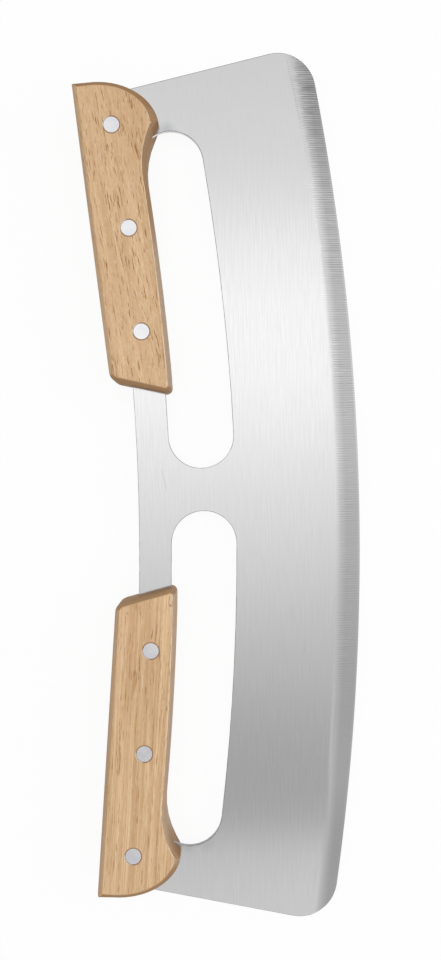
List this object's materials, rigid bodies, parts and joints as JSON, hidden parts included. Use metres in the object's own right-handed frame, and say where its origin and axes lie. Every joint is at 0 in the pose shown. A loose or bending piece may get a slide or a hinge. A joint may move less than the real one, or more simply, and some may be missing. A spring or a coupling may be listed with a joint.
{
  "type": "rocking pizza knife",
  "caption": "Rocking pizza knife: a long steel blade with a curved ground edge and hand slots, and riveted wooden handles on its tang.",
  "frame": {"origin": "middle of the knife's outline on the surface that it lies on, its front face up", "axes": "+X along the blade towards the right handle, +Y from the cutting edge towards the handles, +Z out of the front face"},
  "size_m": [0.356, 0.1124, 0.019],
  "materials": {
    "steel": "satin, brushed lengthwise, with a ground edge",
    "oak": "pale open-pored hardwood, lightly oiled",
    "rivet_metal": "ground flush and polished"
  },
  "bodies": {
    "root": {"blade": "steel", "right_front_scale": "oak", "right_rear_scale": "oak", "left_front_scale": "oak", "left_rear_scale": "oak", "right_outer_rivet_tube": "rivet_metal", "right_outer_rivet_pin": "rivet_metal", "right_middle_rivet_tube": "rivet_metal", "right_middle_rivet_pin": "rivet_metal", "right_inner_rivet_tube": "rivet_metal", "right_inner_rivet_pin": "rivet_metal", "left_outer_rivet_tube": "rivet_metal", "left_outer_rivet_pin": "rivet_metal", "left_middle_rivet_tube": "rivet_metal", "left_middle_rivet_pin": "rivet_metal", "left_inner_rivet_tube": "rivet_metal", "left_inner_rivet_pin": "rivet_metal"}
  },
  "joints": []
}
